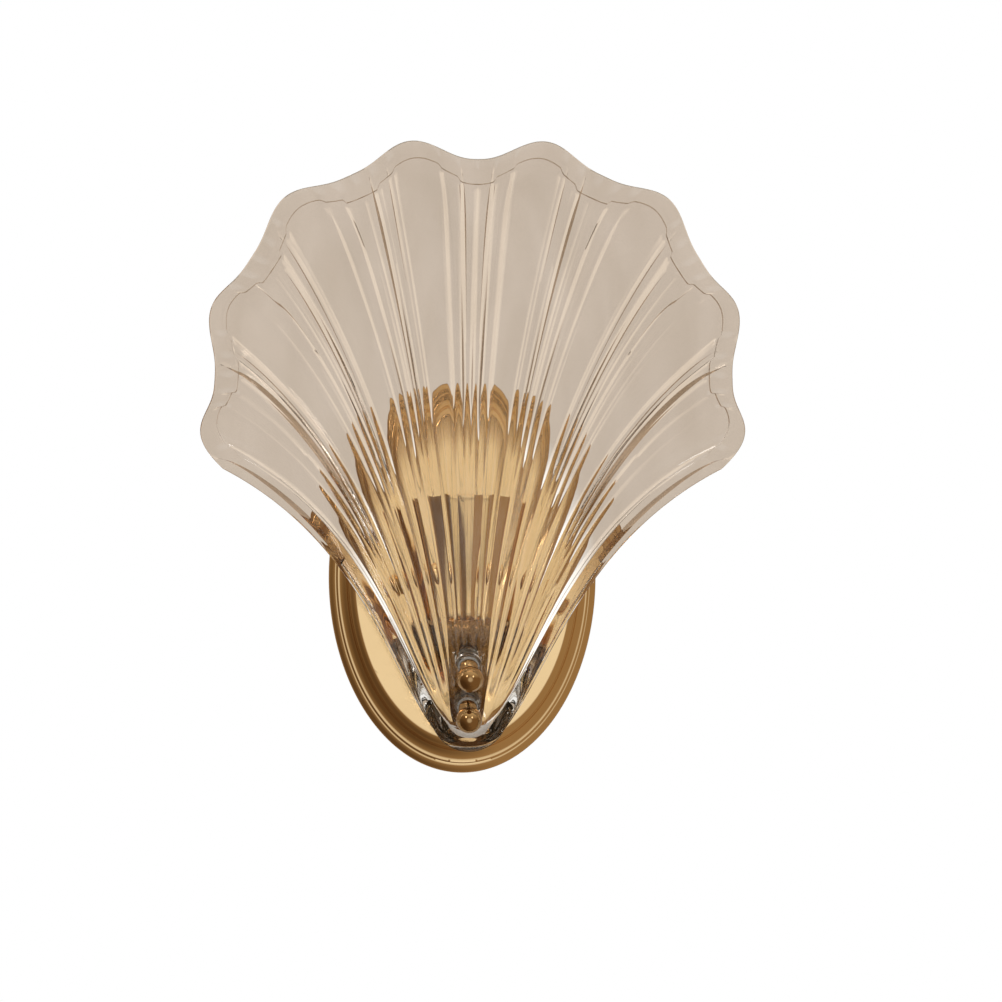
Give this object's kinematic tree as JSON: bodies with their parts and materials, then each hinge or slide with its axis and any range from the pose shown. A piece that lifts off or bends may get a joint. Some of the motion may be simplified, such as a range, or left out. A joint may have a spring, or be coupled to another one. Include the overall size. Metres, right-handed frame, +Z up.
{
  "type": "shell wall sconce",
  "caption": "Wall sconce with a lobed, fluted clear glass shell on a bent brass strip in front of an oval stepped brass canopy, with an upright lamp holder behind the glass.",
  "frame": {"origin": "centre of the canopy on the wall plane, at the back of the wall crossbar", "axes": "+Z up along the wall, -Y out of the wall towards the viewer, +X to the viewer's right"},
  "size_m": [0.2372, 0.1381, 0.2783],
  "materials": {
    "shade_glass": "polished, thick, faintly smoked",
    "polished_brass": "polished and lacquered",
    "brass_screws": "turned",
    "zinc_steel": "zinc plated",
    "clear_rubber": "translucent",
    "black_rubber": "matt",
    "white_ceramic": "glazed",
    "nickel_shell": "nickel plated, rolled thread",
    "ivory_plastic": "satin",
    "white_plastic": "satin",
    "brown_insulation": "satin",
    "blue_insulation": "satin",
    "green_yellow_insulation": "satin, striped"
  },
  "bodies": {
    "fixture": {"glass_shade": "shade_glass", "canopy": "polished_brass", "wall_crossbar": "zinc_steel", "canopy_studs": "zinc_steel", "crossbar_lock_nuts": "zinc_steel", "shade_bracket": "polished_brass", "bracket_screws": "brass_screws", "bracket_nuts": "zinc_steel", "shade_studs": "zinc_steel", "shade_lock_nuts": "zinc_steel", "rear_washers": "clear_rubber", "hole_sleeves": "clear_rubber", "front_washers": "clear_rubber", "lampholder_nipple": "brass_screws", "nipple_nut_lower": "brass_screws", "nipple_nut_upper": "brass_screws", "lampholder_cup": "polished_brass", "lampholder_base": "white_ceramic", "lampholder_shell": "nickel_shell", "lampholder_skirt": "ivory_plastic", "centre_contact": "brass_screws", "socket_rivets": "brass_screws", "terminal_block": "white_plastic", "terminal_screws": "brass_screws", "block_screw": "zinc_steel", "earth_screw": "brass_screws", "earth_tag_bar": "zinc_steel", "earth_tag_foot": "zinc_steel", "lead_grommet": "black_rubber", "live_lead": "brown_insulation", "neutral_lead": "blue_insulation", "earth_lead": "green_yellow_insulation"},
    "shade_nut_upper": {"shade_ball_nut_upper": "polished_brass"},
    "shade_nut_lower": {"shade_ball_nut_lower": "polished_brass"},
    "canopy_nut_left": {"canopy_nut_left": "polished_brass"},
    "canopy_nut_right": {"canopy_nut_right": "polished_brass"}
  },
  "joints": [
    {"name": "shade_nut_upper_turn", "type": "hinge", "parent": "fixture", "child": "shade_nut_upper", "pos_m": [0, -0.04928, -0.03443], "axis": [0, -0.9063, -0.4226], "continuous": true},
    {"name": "shade_nut_lower_turn", "type": "hinge", "parent": "fixture", "child": "shade_nut_lower", "pos_m": [0, -0.04062, -0.05301], "axis": [0, -0.9063, -0.4226], "continuous": true},
    {"name": "canopy_nut_left_turn", "type": "hinge", "parent": "fixture", "child": "canopy_nut_left", "pos_m": [-0.022, -0.0141, 0], "axis": [0, -1, 0], "continuous": true},
    {"name": "canopy_nut_right_turn", "type": "hinge", "parent": "fixture", "child": "canopy_nut_right", "pos_m": [0.022, -0.0141, 0], "axis": [0, -1, 0], "continuous": true}
  ]
}
